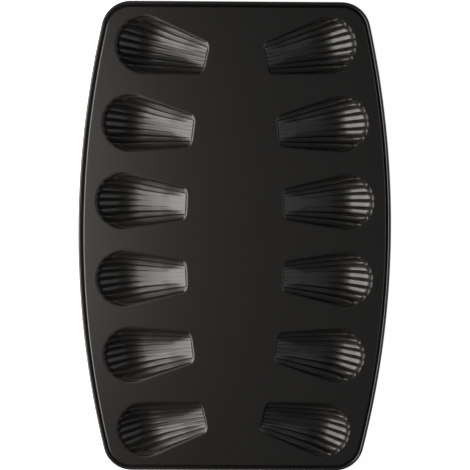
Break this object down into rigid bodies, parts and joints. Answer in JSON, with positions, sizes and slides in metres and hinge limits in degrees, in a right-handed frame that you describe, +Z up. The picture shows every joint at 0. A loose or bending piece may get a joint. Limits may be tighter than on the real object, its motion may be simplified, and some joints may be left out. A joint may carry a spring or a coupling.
{
  "type": "madeleine pan",
  "caption": "Shallow non-stick baking pan with fluted, shell-shaped cavities in two columns, bowed long sides and a rolled, wired edge, for baking madeleines.",
  "frame": {"origin": "middle of the pan in plan, at the height of the lowest points of the shells, where it stands", "axes": "+Z up, out of the open shells; +Y along the pan's long side, from row 6 to row 1; +X from the left column of shells to the right"},
  "size_m": [0.2618, 0.395, 0.0155],
  "materials": {
    "coated_sheet": "satin charcoal non-stick coating on pressed steel sheet",
    "wire": "plain drawn steel wire, hidden inside the rolled edge"
  },
  "bodies": {
    "root": {"deck": "coated_sheet", "rolled_rim": "coated_sheet", "rim_wire": "wire", "shell_left_1": "coated_sheet", "shell_left_2": "coated_sheet", "shell_left_3": "coated_sheet", "shell_left_4": "coated_sheet", "shell_left_5": "coated_sheet", "shell_left_6": "coated_sheet", "shell_right_1": "coated_sheet", "shell_right_2": "coated_sheet", "shell_right_3": "coated_sheet", "shell_right_4": "coated_sheet", "shell_right_5": "coated_sheet", "shell_right_6": "coated_sheet"}
  },
  "joints": []
}
